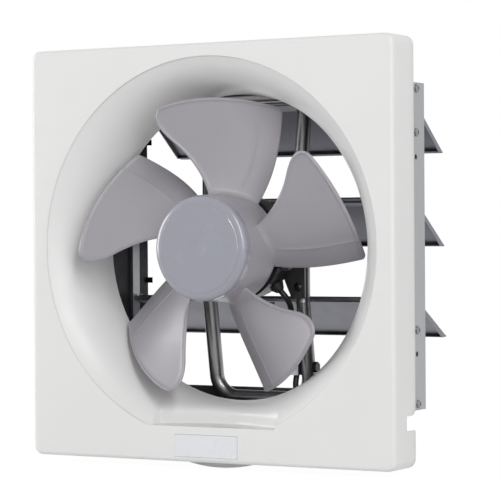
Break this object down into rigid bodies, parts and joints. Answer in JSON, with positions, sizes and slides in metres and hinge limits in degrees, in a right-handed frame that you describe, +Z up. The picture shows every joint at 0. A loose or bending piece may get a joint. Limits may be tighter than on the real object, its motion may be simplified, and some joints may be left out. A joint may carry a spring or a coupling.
{
  "type": "wall exhaust fan",
  "caption": "Square wall and window exhaust fan with a bell-mouthed front panel, a swept-blade impeller on a stay-mounted motor and swinging outdoor louvres on a steel body.",
  "frame": {"origin": "on the fan axis, in the plane where the steel flange meets the wall", "axes": "+X to the right seen from the room, +Y outdoors along the fan axis, +Z up"},
  "size_m": [0.35, 0.1967, 0.356],
  "materials": {
    "panel_plastic": "fine satin",
    "label_plastic": "smooth",
    "tray_plastic": "satin",
    "spring_steel": "plain",
    "galvanised_sheet": "galvanised",
    "bright_screws": "zinc plated",
    "louvre_steel": "satin grey",
    "dark_paint": "semi-gloss",
    "motor_paint": "satin black",
    "core_steel": "laminated",
    "copper_wire": "enamelled",
    "bearing_bronze": "sintered",
    "black_rubber": "matte",
    "cord_jacket": "satin",
    "block_plastic": "satin",
    "blade_plastic": "satin grey",
    "hub_plastic": "smooth",
    "shaft_steel": "ground"
  },
  "bodies": {
    "frame": {"front_panel": "panel_plastic", "name_plate": "label_plastic", "oil_tray": "tray_plastic", "panel_clips": "spring_steel", "side_plate_left": "galvanised_sheet", "side_plate_right": "galvanised_sheet", "top_plate": "galvanised_sheet", "bottom_plate": "galvanised_sheet", "corner_screws": "bright_screws", "rail_left": "galvanised_sheet", "rail_right": "galvanised_sheet", "rail_screws": "bright_screws", "louvre_stop": "dark_paint", "motor_stay": "dark_paint", "stay_screws": "bright_screws", "motor_plate": "dark_paint", "plate_screws": "bright_screws", "motor_rear_shell": "motor_paint", "motor_front_shell": "motor_paint", "shell_screws": "bright_screws", "stator_core": "core_steel", "stator_coils": "copper_wire", "bearing_front": "bearing_bronze", "bearing_rear": "bearing_bronze", "capacitor": "motor_paint", "capacitor_strap": "spring_steel", "lead_grommet": "black_rubber", "motor_lead": "cord_jacket", "lead_clamp": "spring_steel", "clamp_bolt": "bright_screws", "terminal_block": "block_plastic", "terminal_screws": "bearing_bronze"},
    "spinner": {"rotor_core": "core_steel", "shaft": "shaft_steel", "drive_pin": "shaft_steel", "impeller": "blade_plastic", "hub_washer": "bright_screws", "hub_nut": "bright_screws", "hub_cap": "hub_plastic"},
    "upper_louvre": {"louvre_1": "louvre_steel", "louvre_1_pins": "bright_screws", "louvre_1_weight": "dark_paint"},
    "middle_louvre": {"louvre_2": "louvre_steel", "louvre_2_pins": "bright_screws", "louvre_2_weight": "dark_paint"},
    "lower_louvre": {"louvre_3": "louvre_steel", "louvre_3_pins": "bright_screws", "louvre_3_weight": "dark_paint"}
  },
  "joints": [
    {"name": "fan_spin", "type": "hinge", "parent": "frame", "child": "spinner", "pos_m": [0, 0, 0], "axis": [0, 1, 0], "continuous": true},
    {"name": "upper_louvre_hinge", "type": "hinge", "parent": "frame", "child": "upper_louvre", "pos_m": [0, 0.0715, 0.1245], "axis": [1, 0, 0], "range_deg": [-52, 12]},
    {"name": "middle_louvre_hinge", "type": "hinge", "parent": "frame", "child": "middle_louvre", "pos_m": [0, 0.0715, 0.0395], "axis": [1, 0, 0], "range_deg": [-55, 9]},
    {"name": "lower_louvre_hinge", "type": "hinge", "parent": "frame", "child": "lower_louvre", "pos_m": [0, 0.0715, -0.0455], "axis": [1, 0, 0], "range_deg": [-59.5, 4.5]}
  ]
}
